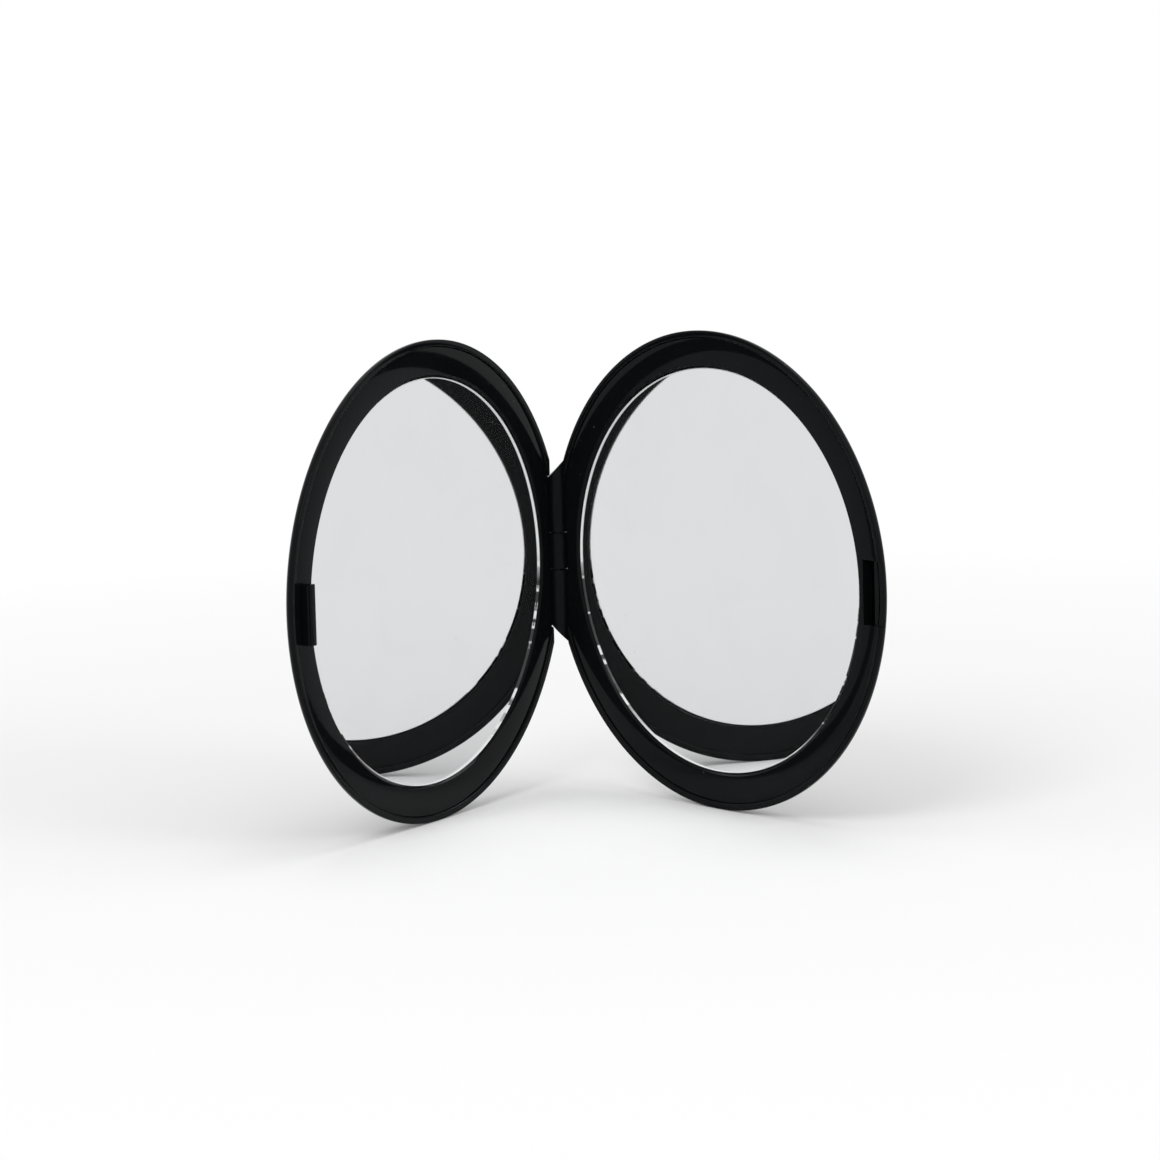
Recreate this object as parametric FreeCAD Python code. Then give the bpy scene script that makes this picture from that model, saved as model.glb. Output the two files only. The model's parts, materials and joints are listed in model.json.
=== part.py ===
"""Folding compact mirror: two round halves on a pinned hinge, each with a glass mirror in its rim.

Each half is a thin rounded cover, a rim frame bonded into it, a glass mirror and an adhesive pad.
The base half carries the outer hinge knuckles and the latch slot. The lid half carries the middle
knuckle and the latch tongue. The model stands on its rims, open as a book, with the hinge upright.

A half is drawn lying on its back: its disc centre at the origin, X towards the latch, Y along the
hinge and Z out of the mirror. Z 0 is the parting plane, which holds the hinge axis. Then it is stood up.
"""

import FreeCAD, Part

import math
import os

# All lengths are millimetres and all angles degrees.

# the whole half
outer_radius = 35.0
open_angle = 74.0
parting_gap = 0.1

# cover
cover_wall = 1.0
edge_wall = 0.35
edge_nose_radius = 1.2
edge_blend_angle = 50.0
lip_round = 0.2
lip_ease = 0.15
back_gap = 0.45

# rim frame
rim_width = 5.45
face_step = 0.3
opening_chamfer = 0.35
face_round = 0.15
floor_thickness = 0.6
frame_fit = 0.08

# mirror and its pad
glass_recess = 0.6
glass_thickness = 1.1
glass_fit = 0.15
glass_edge_chamfer = 0.15
pad_thickness = 0.3
pad_inset = 1.0

# hinge
axis_inset = 1.3
knuckle_radius = 1.5
knuckle_round = 0.15
hinge_length = 21.6
knuckle_slope = 3.25
middle_knuckle_length = 5.4
knuckle_end_gap = 0.15
hinge_clearance = 0.15
tab_thickness = 1.3
pin_radius = 0.6
pin_end_recess = 0.25
pin_end_chamfer = 0.15
pin_press_gap = 0.01
pin_running_gap = 0.05

# latch
latch_offset = 2.15
tongue_width = 8.7
tongue_thickness = 1.2
tongue_reach = 1.3
tongue_lead_in = 0.3
nib_height = 0.3
nib_depth = 0.65
nib_length = 0.35
slot_side_gap = 0.3
slot_inner_gap = 0.35
slot_mouth_gap = 0.2
nib_gap = 0.25
ledge_gap = 0.05
nail_notch_depth = 0.25

# what follows from them
lip_depth = parting_gap / 2
face_depth = lip_depth + face_step
glass_top = face_depth + glass_recess
pad_top = glass_top + glass_thickness
floor_top = pad_top + pad_thickness
floor_bottom = floor_top + floor_thickness
half_depth = floor_bottom + back_gap + cover_wall
opening_radius = outer_radius - rim_width
pocket_radius = opening_radius - opening_chamfer
frame_radius = outer_radius - cover_wall - frame_fit
nose_depth = lip_depth + edge_wall
axis_to_centre = outer_radius - axis_inset
chord = axis_to_centre - knuckle_radius - hinge_clearance
end_slope = knuckle_slope / (axis_to_centre + knuckle_radius - chord)
latch_radius = opening_radius + latch_offset
big = 3 * outer_radius


def at(radius, depth):
    """A point of a half's cross-section, by its radius and its depth under the parting plane."""
    return FreeCAD.Vector(radius, 0, -depth)


def line(start, end):
    """A straight edge."""
    return Part.LineSegment(start, end).toShape()


def arc(centre_radius, centre_depth, radius, start_angle, end_angle):
    """A round edge of a cross-section. Angle 0 points outwards and 90 towards the back."""
    def point(angle):
        turn = math.radians(angle)
        return at(centre_radius + radius * math.cos(turn), centre_depth + radius * math.sin(turn))
    middle = (start_angle + end_angle) / 2
    return Part.Arc(point(start_angle), point(middle), point(end_angle)).toShape()


def turned(edges):
    """The solid that a closed cross-section sweeps about the disc's axis."""
    wire = Part.Wire(Part.__sortEdges__(edges))
    return Part.Face(wire).revolve(FreeCAD.Vector(), FreeCAD.Vector(0, 0, 1), 360)


def block(x_low, x_high, half_width, z_low, z_high):
    """A box, centred across the hinge."""
    corner = FreeCAD.Vector(x_low, -half_width, z_low)
    return Part.makeBox(x_high - x_low, 2 * half_width, z_high - z_low, corner)


def prism(outline, depth_low, depth_high):
    """A straight prism from an outline in X and Y, between two depths."""
    points = [FreeCAD.Vector(x, y, -depth_high) for x, y in outline]
    face = Part.Face(Part.makePolygon(points + points[:1]))
    return face.extrude(FreeCAD.Vector(0, 0, depth_high - depth_low))


def rod(radius, low, high):
    """A cylinder about the hinge axis, between two places along it."""
    start = FreeCAD.Vector(-axis_to_centre, low, 0)
    return Part.makeCylinder(radius, high - low, start, FreeCAD.Vector(0, 1, 0))


def round_edges(shape, size, wanted):
    """The shape with the edges that the test picks rounded."""
    return shape.makeFillet(size, [edge for edge in shape.Edges if wanted(edge)])


# The cover's back is flat. A wide shoulder arc and a small nose arc carry it round to the lip.
blend = math.radians(edge_blend_angle)
shoulder_rise = half_depth - nose_depth - edge_nose_radius * math.sin(blend)
shoulder_radius = shoulder_rise / (1 - math.sin(blend))
shoulder_depth = half_depth - shoulder_radius
nose_centre = outer_radius - edge_nose_radius
flat_radius = nose_centre + (edge_nose_radius - shoulder_radius) * math.cos(blend)


def outside_edges():
    """The cover's outside: lip, nose, shoulder and flat back, from the lip's top to the disc's axis."""
    lip_top = outer_radius - lip_round
    return [
        arc(lip_top, lip_depth + lip_round, lip_round, -90, 0),
        line(at(outer_radius, lip_depth + lip_round), at(outer_radius, nose_depth)),
        arc(nose_centre, nose_depth, edge_nose_radius, 0, edge_blend_angle),
        arc(flat_radius, shoulder_depth, shoulder_radius, edge_blend_angle, 90),
        line(at(flat_radius, half_depth), at(0, half_depth)),
    ]


def inside_edges():
    """The cover's inside, one wall in from its back, up to the lip's eased inner edge and its top."""
    inner_radius = outer_radius - cover_wall
    shoulder = shoulder_radius - cover_wall
    corner_angle = math.degrees(math.acos((inner_radius - flat_radius) / shoulder))
    corner_depth = shoulder_depth + shoulder * math.sin(math.radians(corner_angle))
    eased = at(inner_radius, lip_depth + lip_ease)
    top = at(inner_radius + lip_ease, lip_depth)
    return [
        line(at(0, half_depth - cover_wall), at(flat_radius, half_depth - cover_wall)),
        arc(flat_radius, shoulder_depth, shoulder, 90, corner_angle),
        line(at(inner_radius, corner_depth), eased),
        line(eased, top),
        line(top, at(outer_radius - lip_round, lip_depth)),
    ]


def past_the_chord():
    """The space on the hinge's side of the flat that both halves are cut to."""
    return block(-big, -chord, big, -big, big)


def make_cover():
    """A thin dish with a rounded edge, cut flat where the hinge passes."""
    middle = line(at(0, half_depth), at(0, half_depth - cover_wall))
    dish = turned(outside_edges() + inside_edges() + [middle])
    return dish.cut(past_the_chord())


def make_frame_ring():
    """The rim frame before its hinge and latch: a flat ring with a floored pocket for the mirror."""
    inset = shoulder_radius - cover_wall - frame_fit
    foot_radius = flat_radius + math.sqrt(inset ** 2 - (floor_bottom - shoulder_depth) ** 2)
    corner_radius = frame_radius - face_round
    edges = [
        line(at(0, floor_top), at(pocket_radius, floor_top)),
        line(at(pocket_radius, floor_top), at(pocket_radius, face_depth + opening_chamfer)),
        line(at(pocket_radius, face_depth + opening_chamfer), at(opening_radius, face_depth)),
        line(at(opening_radius, face_depth), at(corner_radius, face_depth)),
        arc(corner_radius, face_depth + face_round, face_round, -90, 0),
        line(at(frame_radius, face_depth + face_round), at(foot_radius, floor_bottom)),
        line(at(foot_radius, floor_bottom), at(0, floor_bottom)),
        line(at(0, floor_bottom), at(0, floor_top)),
    ]
    return turned(edges).cut(past_the_chord())


def beyond_the_slopes():
    """The space past the sloped ends of the base's knuckles, which fall from the barrel to the rim's edge."""
    tip = hinge_length / 2
    foot = tip + knuckle_slope
    behind = (-axis_to_centre - 2 * knuckle_radius, tip - end_slope * knuckle_radius)
    outline = [behind, (-chord, foot), (-chord, big), (-big, big), (-big, behind[1])]
    space = prism(outline, -big, big)
    return space.fuse(space.mirror(FreeCAD.Vector(), FreeCAD.Vector(0, 1, 0)))


def make_knuckle(low, high):
    """A hinge barrel, with its square ends softened, and the tab that joins it to the frame."""
    barrel = rod(knuckle_radius, low, high).cut(beyond_the_slopes())
    barrel = round_edges(barrel, knuckle_round, lambda edge: isinstance(edge.Curve, Part.Circle))
    outline = [(-chord, low), (-axis_to_centre, low), (-axis_to_centre, high), (-chord, high)]
    tab = prism(outline, face_depth, face_depth + tab_thickness)
    return barrel.fuse(tab.cut(beyond_the_slopes()))


def make_base_frame():
    """The base's rim frame: outer knuckles with their sloped ends, latch slot and nail notch."""
    near = middle_knuckle_length / 2 + knuckle_end_gap
    far = hinge_length / 2 + 2 * knuckle_slope
    frame = make_frame_ring()
    frame = frame.fuse(make_knuckle(near, far)).fuse(make_knuckle(-far, -near))
    frame = frame.cut(rod(pin_radius + pin_press_gap, -big, big))
    return frame.cut(latch_slot()).removeSplitter()


def latch_slot():
    """The room for the tongue in the base: a mouth, an undercut behind its ledge, and a nail notch."""
    half_width = tongue_width / 2 + slot_side_gap
    inner = latch_radius - tongue_thickness / 2 - slot_inner_gap
    mouth = latch_radius + tongue_thickness / 2 + slot_mouth_gap
    undercut = latch_radius + tongue_thickness / 2 + nib_height + nib_gap
    ledge_depth = nib_depth - ledge_gap
    slot = block(inner, mouth, half_width, -floor_bottom, big)
    slot = slot.fuse(block(inner, undercut, half_width, -floor_bottom, -ledge_depth))
    return slot.fuse(nail_notch())


def nail_notch():
    """A shallow step at the base's edge beside the slot, for a fingernail."""
    half_width = tongue_width / 2 + slot_side_gap
    start = latch_radius + tongue_thickness / 2 + slot_mouth_gap
    return block(start, big, half_width, -(face_depth + nail_notch_depth), big)


def make_lid_frame():
    """The lid's rim frame: the middle knuckle and the latch tongue."""
    reach = middle_knuckle_length / 2
    frame = make_frame_ring().fuse(make_knuckle(-reach, reach))
    frame = frame.cut(rod(pin_radius + pin_running_gap, -big, big))
    return frame.fuse(make_tongue()).removeSplitter()


def make_tongue():
    """The latch tongue: a springy tab with a lead-in and a nib that snaps under the base's ledge."""
    inner = latch_radius - tongue_thickness / 2
    outer = latch_radius + tongue_thickness / 2
    tip = tongue_reach
    root = -(face_depth + opening_chamfer)
    nib_slope = nib_height / 2
    section = [(inner, root), (outer, root), (outer, nib_depth), (outer + nib_height, nib_depth + nib_slope),
               (outer + nib_height, nib_depth + nib_length), (outer - tongue_lead_in, tip),
               (inner + tongue_lead_in, tip), (inner, tip - tongue_lead_in)]
    points = [FreeCAD.Vector(x, -tongue_width / 2, z) for x, z in section]
    face = Part.Face(Part.makePolygon(points + points[:1]))
    return face.extrude(FreeCAD.Vector(0, tongue_width, 0))


def make_mirror():
    """A round glass with eased edges."""
    radius = pocket_radius - glass_fit
    glass = Part.makeCylinder(radius, glass_thickness, at(0, pad_top))
    return glass.makeChamfer(glass_edge_chamfer, [edge for edge in glass.Edges if edge.Closed])


def make_pad():
    """The double-sided pad that holds the mirror on the pocket's floor."""
    radius = pocket_radius - glass_fit - pad_inset
    return Part.makeCylinder(radius, pad_thickness, at(0, floor_top))


def make_pin():
    """The steel hinge pin, a little short of where the sloped ends of the knuckles open its hole."""
    reach = hinge_length / 2 + end_slope * (knuckle_radius - pin_radius) - pin_end_recess
    pin = rod(pin_radius, -reach, reach)
    ends = [edge for edge in pin.Edges if edge.Closed]
    return pin.makeChamfer(pin_end_chamfer, ends)


def stood_up(shape, side):
    """A half stood on its rim beside the upright hinge axis: side 1 is the base, -1 the lid."""
    half = math.radians(open_angle / 2)
    along = FreeCAD.Vector(side * math.sin(half), -math.cos(half), 0)
    front = FreeCAD.Vector(-side * math.cos(half), -math.sin(half), 0)
    upright = front.cross(along)
    centre = along * axis_to_centre + FreeCAD.Vector(0, 0, outer_radius)
    turn = FreeCAD.Matrix(along.x, upright.x, front.x, centre.x,
                          along.y, upright.y, front.y, centre.y,
                          along.z, upright.z, front.z, centre.z,
                          0, 0, 0, 1)
    copy = shape.copy()
    copy.Placement = FreeCAD.Placement(turn)
    return copy


def main():
    """Builds every piece, sets the origin under the middle of the whole, and writes the STEP files."""
    os.makedirs("parts", exist_ok=True)
    base_cover = make_cover().cut(nail_notch())
    pieces = {
        "base_cover": stood_up(base_cover, 1),
        "base_frame": stood_up(make_base_frame(), 1),
        "base_mirror": stood_up(make_mirror(), 1),
        "base_mirror_pad": stood_up(make_pad(), 1),
        "hinge_pin": stood_up(make_pin(), 1),
        "lid_cover": stood_up(make_cover(), -1),
        "lid_frame": stood_up(make_lid_frame(), -1),
        "lid_mirror": stood_up(make_mirror(), -1),
        "lid_mirror_pad": stood_up(make_pad(), -1),
    }
    boxes = [shape.optimalBoundingBox(False, False) for shape in pieces.values()]
    front = min(box.YMin for box in boxes)
    back = max(box.YMax for box in boxes)
    axis_y = -(front + back) / 2
    for name, shape in pieces.items():
        shape.translate(FreeCAD.Vector(0, axis_y, 0))
        shape.exportStep(os.path.join("parts", name + ".step"))
        solid = shape.Solids[0]
        print(name, len(shape.Solids), shape.isValid(), round(solid.Volume, 2))
    print("hinge axis at y", round(axis_y, 4), "height of the disc centres", outer_radius)
    print("half depth", round(half_depth, 3), "flat back radius", round(flat_radius, 3))


main()
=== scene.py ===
"""Studio scene of a round folding compact mirror in glossy black plastic, standing open on its rims.

Each half is modelled lying on its back: disc centre at the origin, X towards the latch, Y along the
hinge and Z out of the mirror, with the parting plane at Z 0. It is then stood up beside the hinge.
The pieces' sizes are in millimetres, and angles in degrees. The studio's sizes are in metres.
"""

import json
import logging
import math
from dataclasses import dataclass
from enum import Enum
from typing import Any, Callable, Dict, List, Optional, Sequence, Tuple

import bpy
from mathutils import Matrix, Vector

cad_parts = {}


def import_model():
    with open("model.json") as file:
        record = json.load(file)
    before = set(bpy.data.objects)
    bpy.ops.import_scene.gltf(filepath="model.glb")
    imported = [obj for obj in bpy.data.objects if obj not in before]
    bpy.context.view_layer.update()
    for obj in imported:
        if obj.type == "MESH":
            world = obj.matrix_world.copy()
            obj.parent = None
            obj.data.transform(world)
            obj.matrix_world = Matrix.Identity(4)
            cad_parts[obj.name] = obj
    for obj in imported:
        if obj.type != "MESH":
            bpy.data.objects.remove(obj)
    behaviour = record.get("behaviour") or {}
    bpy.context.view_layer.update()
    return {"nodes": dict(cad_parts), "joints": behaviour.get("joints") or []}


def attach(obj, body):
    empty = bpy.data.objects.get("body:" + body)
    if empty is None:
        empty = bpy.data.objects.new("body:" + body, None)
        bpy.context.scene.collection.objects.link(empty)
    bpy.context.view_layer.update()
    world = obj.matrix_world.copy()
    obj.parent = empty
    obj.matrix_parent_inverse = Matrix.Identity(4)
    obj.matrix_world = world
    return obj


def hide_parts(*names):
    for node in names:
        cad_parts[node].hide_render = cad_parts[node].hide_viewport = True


log = logging.getLogger("compact_mirror")

Range = Tuple[float, float]
Triple = Tuple[float, float, float]
Colour = Tuple[float, float, float, float]
Profile = List[Tuple[float, float]]
Node = bpy.types.Node
Socket = bpy.types.NodeSocket
Object = bpy.types.Object
Material = bpy.types.Material
Tree = bpy.types.NodeTree

MM = 0.001
IMAGE_SIZE = 1160
SENSOR_MM = 36.0

# How finely round forms are stepped, and below what length in metres points count as one.
TURN_STEPS = 240
ROD_SIDES = 96
ROUND_STEPS = 3
WELD = 2e-7
SLIVER = 3e-6

# The span that most of a noise's values lie in, and the colour sockets of a Mix node.
NOISE_SPAN: Range = (0.3, 0.7)
MIX_SHARE, MIX_FIRST, MIX_SECOND, MIX_RESULT = 0, 6, 7, 2
WHITE: Colour = (1.0, 1.0, 1.0, 1.0)


class Half(Enum):
    """The two halves. The value is the side of the hinge that the half stands on."""

    BASE = 1
    LID = -1

    @property
    def body(self) -> str:
        """The name of the moving body that the half's pieces ride on."""
        return self.name.lower()


class Cut(Enum):
    """How a helper solid is worked into a piece."""

    REMOVE = "DIFFERENCE"
    ADD = "UNION"


class Op(Enum):
    """The sums that the node trees use."""

    ADD = "ADD"
    MULTIPLY = "MULTIPLY"
    MAXIMUM = "MAXIMUM"
    LESS_THAN = "LESS_THAN"


class Slot(Enum):
    """The material slots of the pieces that stand for solids."""

    PLASTIC = "black_plastic"
    GLASS = "mirror_glass"
    STEEL = "pin_steel"


@dataclass(frozen=True)
class Sizes:
    """The driving sizes that several pieces share."""

    outer_radius: float = 35.0
    wall: float = 1.0
    face_depth: float = 0.35
    rim_width: float = 5.05
    chamfer: float = 0.3
    glass_room: float = 0.15
    axis_inset: float = 1.3
    knuckle_radius: float = 1.5
    hinge_clearance: float = 0.15

    @property
    def axis_to_centre(self) -> float:
        """From a disc's centre to the hinge axis."""
        return self.outer_radius - self.axis_inset

    @property
    def chord(self) -> float:
        """From a disc's centre to its flat at the hinge."""
        return self.axis_to_centre - self.knuckle_radius - self.hinge_clearance

    @property
    def opening_radius(self) -> float:
        """The radius of the rim's opening at its face."""
        return self.outer_radius - self.rim_width

    @property
    def pocket_radius(self) -> float:
        """The radius of the pocket that the mirror lies in."""
        return self.opening_radius - self.chamfer


@dataclass(frozen=True)
class Stance:
    """How the two halves stand: the angle between them and, in metres, where the hinge axis is."""

    open_angle: float
    hinge_y: float
    centre_height: float
    axis_to_centre: float

    @classmethod
    def from_joint(cls, joint: Dict[str, Any], sizes: Sizes) -> "Stance":
        """Takes the stance from the frame's hinge, which is closed at the low end of its range."""
        hinge_y, centre_height = joint["pos_m"][1:]
        return cls(-joint["range_deg"][0], hinge_y, centre_height, sizes.axis_to_centre * MM)

    def placing(self, half: Half) -> Matrix:
        """The move from a half's own axes to where it stands.

        Args:
            half: The half to stand up.

        Returns:
            The matrix that stands the half beside the hinge.
        """
        lean = math.radians(self.open_angle / 2)
        along = Vector((half.value * math.sin(lean), -math.cos(lean), 0))
        front = Vector((-half.value * math.cos(lean), -math.sin(lean), 0))
        upright = front.cross(along)
        centre = along * self.axis_to_centre + Vector((0, self.hinge_y, self.centre_height))
        turn = Matrix((along, upright, front)).transposed().to_4x4()
        return Matrix.Translation(centre) @ turn


class Bench:
    """The modelling moves that the pieces share."""

    @staticmethod
    def clear() -> None:
        """Leaves edit mode and deselects everything."""
        if bpy.context.object and bpy.context.object.mode != "OBJECT":
            bpy.ops.object.mode_set(mode="OBJECT")
        bpy.ops.object.select_all(action="DESELECT")

    @staticmethod
    def pick(obj: Object) -> None:
        """Selects one object alone and makes it active.

        Args:
            obj: The object.
        """
        Bench.clear()
        obj.select_set(True)
        bpy.context.view_layer.objects.active = obj

    @staticmethod
    def edit(obj: Object) -> None:
        """Opens one object in edit mode with all of it selected.

        Args:
            obj: The object.
        """
        Bench.pick(obj)
        bpy.ops.object.mode_set(mode="EDIT")
        bpy.ops.mesh.select_mode(type="VERT")
        bpy.ops.mesh.select_all(action="SELECT")

    @staticmethod
    def pick_edges(obj: Object, wanted: Callable[[Vector, Vector], bool]) -> None:
        """Selects the edges whose two ends pass a test, in edit mode.

        Args:
            obj: The object in edit mode.
            wanted: The test on an edge's two end points.
        """
        bpy.ops.mesh.select_mode(type="EDGE")
        bpy.ops.mesh.select_all(action="DESELECT")
        bpy.ops.object.mode_set(mode="OBJECT")
        points = obj.data.vertices
        for edge in obj.data.edges:
            ends = [points[index].co for index in edge.vertices]
            edge.select = wanted(ends[0], ends[1])
        bpy.ops.object.mode_set(mode="EDIT")

    @staticmethod
    def turned(name: str, profile: Profile) -> Object:
        """A piece turned about the disc's axis from half of its cross-section.

        Args:
            name: The piece's name.
            profile: Radius and depth of each point, in order round the section.

        Returns:
            The closed turned object.
        """
        Bench.clear()
        bpy.ops.mesh.primitive_plane_add(size=MM, location=(0, 0, 0))
        obj = bpy.context.object
        obj.name = name
        Bench.edit(obj)
        bpy.ops.mesh.merge(type="CENTER")
        places = [Vector((radius * MM, 0, -depth * MM)) for radius, depth in profile]
        bpy.ops.transform.translate(value=places[0])
        for before, after in zip(places, places[1:]):
            bpy.ops.mesh.extrude_vertices_move(TRANSFORM_OT_translate={"value": after - before})
        bpy.ops.mesh.select_all(action="SELECT")
        bpy.ops.mesh.spin(steps=TURN_STEPS, angle=2 * math.pi, center=(0, 0, 0), axis=(0, 0, 1))
        bpy.ops.mesh.select_all(action="SELECT")
        bpy.ops.mesh.remove_doubles(threshold=WELD)
        bpy.ops.mesh.normals_make_consistent(inside=False)
        Bench.clear()
        return obj

    @staticmethod
    def trimmed(obj: Object, point: Sequence[float], inward: Sequence[float]) -> None:
        """Cuts away all of a piece that lies beyond a flat, and closes the cut.

        Args:
            obj: The piece to cut.
            point: A point of the flat.
            inward: The direction from the flat into the piece.
        """
        Bench.edit(obj)
        bpy.ops.mesh.bisect(plane_co=Vector(point) * MM, plane_no=Vector(inward).normalized(),
                            use_fill=True, clear_inner=True, threshold=WELD)
        Bench.clear()

    @staticmethod
    def bar(name: str, low: Sequence[float], high: Sequence[float], round_by: float = 0.0) -> Object:
        """A block between two corners, with its edges rounded.

        Args:
            name: The block's name.
            low: Its lowest corner.
            high: Its highest corner.
            round_by: The radius of its edges.

        Returns:
            The block.
        """
        Bench.clear()
        middle = [(a + b) / 2 * MM for a, b in zip(low, high)]
        size = [(b - a) * MM for a, b in zip(low, high)]
        bpy.ops.mesh.primitive_cube_add(size=1, location=middle)
        obj = bpy.context.object
        obj.name = name
        Bench.edit(obj)
        bpy.ops.transform.resize(value=size, center_override=middle)
        if round_by:
            bpy.ops.mesh.bevel(offset=round_by * MM, segments=ROUND_STEPS, affect="EDGES")
        Bench.clear()
        return obj

    @staticmethod
    def rod(name: str, axis_x: float, radius: float, low: float, high: float,
            round_by: float = 0.0) -> Object:
        """A round bar along the hinge axis, with softened ends.

        Args:
            name: The bar's name.
            axis_x: X of the hinge axis.
            radius: The bar's radius.
            low: Where it starts along the hinge.
            high: Where it ends.
            round_by: The radius of its end edges.

        Returns:
            The bar.
        """
        Bench.clear()
        bpy.ops.mesh.primitive_cylinder_add(vertices=ROD_SIDES, radius=radius * MM, depth=(high - low) * MM,
                                            location=(axis_x * MM, (low + high) / 2 * MM, 0),
                                            rotation=(math.pi / 2, 0, 0))
        obj = bpy.context.object
        obj.name = name
        bpy.ops.object.transform_apply(location=True, rotation=True, scale=True)
        if round_by:
            Bench.edit(obj)
            Bench.pick_edges(obj, lambda a, b: abs(a.y - b.y) < WELD)
            bpy.ops.mesh.bevel(offset=round_by * MM, segments=ROUND_STEPS, affect="EDGES")
        Bench.clear()
        return obj

    @staticmethod
    def work(obj: Object, tools: Sequence[Object], how: Cut) -> None:
        """Adds helper solids to a piece or cuts them out, one by one, and deletes them.

        Args:
            obj: The piece.
            tools: The helper solids.
            how: Whether they are added or removed.
        """
        for tool in tools:
            Bench.pick(obj)
            change = obj.modifiers.new("work", "BOOLEAN")
            change.operation = how.value
            change.solver = "EXACT"
            change.object = tool
            bpy.ops.object.modifier_apply(modifier=change.name)
            mesh = tool.data
            bpy.data.objects.remove(tool)
            bpy.data.meshes.remove(mesh)

    @staticmethod
    def welded(obj: Object) -> None:
        """Merges the hair-fine slivers that worked-in solids leave along a piece's edges.

        Args:
            obj: The piece.
        """
        Bench.edit(obj)
        bpy.ops.mesh.remove_doubles(threshold=SLIVER)
        bpy.ops.mesh.select_all(action="SELECT")
        bpy.ops.mesh.dissolve_degenerate(threshold=SLIVER)
        Bench.clear()

    @staticmethod
    def finished(obj: Object, placing: Matrix, finish: Material, smooth_angle: float = 28.0) -> Object:
        """Smooths a piece, gives it its finish and stands it where it belongs.

        Args:
            obj: The piece, in its half's own axes.
            placing: The move to where it stands.
            finish: Its material.
            smooth_angle: The steepest edge that is shaded smooth.

        Returns:
            The same piece, with its place in its mesh.
        """
        Bench.pick(obj)
        bpy.ops.object.transform_apply(location=True, rotation=True, scale=True)
        obj.data.transform(placing)
        obj.data.update()
        bpy.ops.object.shade_smooth_by_angle(angle=math.radians(smooth_angle))
        obj.data.materials.clear()
        obj.data.materials.append(finish)
        Bench.clear()
        return obj


def arc(centre: Range, radius: float, start: float, end: float, steps: int) -> Profile:
    """Points of a round corner of a cross-section.

    Args:
        centre: Radius and depth of the corner's centre.
        radius: The corner's radius.
        start: The first angle; 0 points outwards and 90 to the back.
        end: The last angle.
        steps: How many steps the corner has.

    Returns:
        The points, both ends included.
    """
    turns = [math.radians(start + (end - start) * step / steps) for step in range(steps + 1)]
    return [(centre[0] + radius * math.cos(turn), centre[1] + radius * math.sin(turn)) for turn in turns]


class Graph:
    """A short way to write a node tree: adds nodes, sets their inputs and joins them."""

    def __init__(self, tree: Tree) -> None:
        """Starts from a cleared tree."""
        self.tree = tree
        tree.nodes.clear()

    @classmethod
    def of_material(cls, name: str) -> Tuple[Material, "Graph"]:
        """A new material with an empty node tree.

        Args:
            name: The material's name.

        Returns:
            The material and its graph.
        """
        material = bpy.data.materials.new(name)
        material.use_nodes = True
        return material, cls(material.node_tree)

    def add(self, kind: str, inputs: Optional[Dict[Any, object]] = None, **settings: object) -> Node:
        """A new node.

        Args:
            kind: The node's type name.
            inputs: Values or output sockets for its inputs, by name or number.
            settings: The node's own settings.

        Returns:
            The node.
        """
        node = self.tree.nodes.new(kind)
        for name, value in settings.items():
            setattr(node, name, value)
        for name, value in (inputs or {}).items():
            self.feed(node.inputs[name], value)
        return node

    def feed(self, socket: Socket, value: object) -> None:
        """Joins an output to a socket, or sets the socket's value.

        Args:
            socket: The input.
            value: The output socket or the value.
        """
        if isinstance(value, Socket):
            self.tree.links.new(value, socket)
        else:
            socket.default_value = value

    def place(self) -> Socket:
        """The object's own coordinates."""
        return self.add("ShaderNodeTexCoord").outputs["Object"]

    def noise(self, place: Socket, scale: object, detail: float = 3.0, rough: float = 0.55,
              warp: float = 0.0) -> Socket:
        """A noise over the surface, with its scale as features per metre."""
        inputs = {"Vector": place, "Scale": scale, "Detail": detail, "Roughness": rough, "Distortion": warp}
        return self.add("ShaderNodeTexNoise", inputs).outputs["Fac"]

    def spread(self, value: Socket, span: Range, onto: Range = (0.0, 1.0)) -> Socket:
        """A value moved from one range to another, held at the range's ends."""
        return self.add("ShaderNodeMapRange", {"Value": value, "From Min": span[0], "From Max": span[1],
                                               "To Min": onto[0], "To Max": onto[1]}).outputs["Result"]

    def math(self, how: Op, first: object, *others: object) -> Socket:
        """A sum of two or more values, worked from the left.

        Args:
            how: The sum.
            first: The first value or socket.
            others: The values or sockets that follow.

        Returns:
            The result's socket.
        """
        total = first
        for other in others:
            total = self.add("ShaderNodeMath", {0: total, 1: other}, operation=how.value).outputs[0]
        return total

    def blend(self, share: Socket, first: object, second: object) -> Socket:
        """A mix of two colours by the share of the second."""
        return self.add("ShaderNodeMix", {MIX_SHARE: share, MIX_FIRST: first, MIX_SECOND: second},
                        data_type="RGBA").outputs[MIX_RESULT]

    def bump(self, height: Socket, strength: float, distance: float) -> Socket:
        """The normal of a surface relief, with its depth in metres."""
        inputs = {"Height": height, "Strength": strength, "Distance": distance}
        return self.add("ShaderNodeBump", inputs).outputs["Normal"]

    def seen(self) -> Socket:
        """Whether a surface is looked at, straight or by way of a mirror, or only sheds light.

        Returns:
            The socket: one where it is looked at, and zero where it sheds light.
        """
        rays = self.add("ShaderNodeLightPath").outputs
        kinds = ("Is Camera Ray", "Is Glossy Ray", "Is Transmission Ray")
        return self.math(Op.MAXIMUM, *(rays[kind] for kind in kinds))

    def principled(self, inputs: Dict[str, object]) -> None:
        """Puts a principled shader with these inputs on the material's surface."""
        shader = self.add("ShaderNodeBsdfPrincipled", inputs)
        self.add("ShaderNodeOutputMaterial", {"Surface": shader.outputs["BSDF"]})


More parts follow.
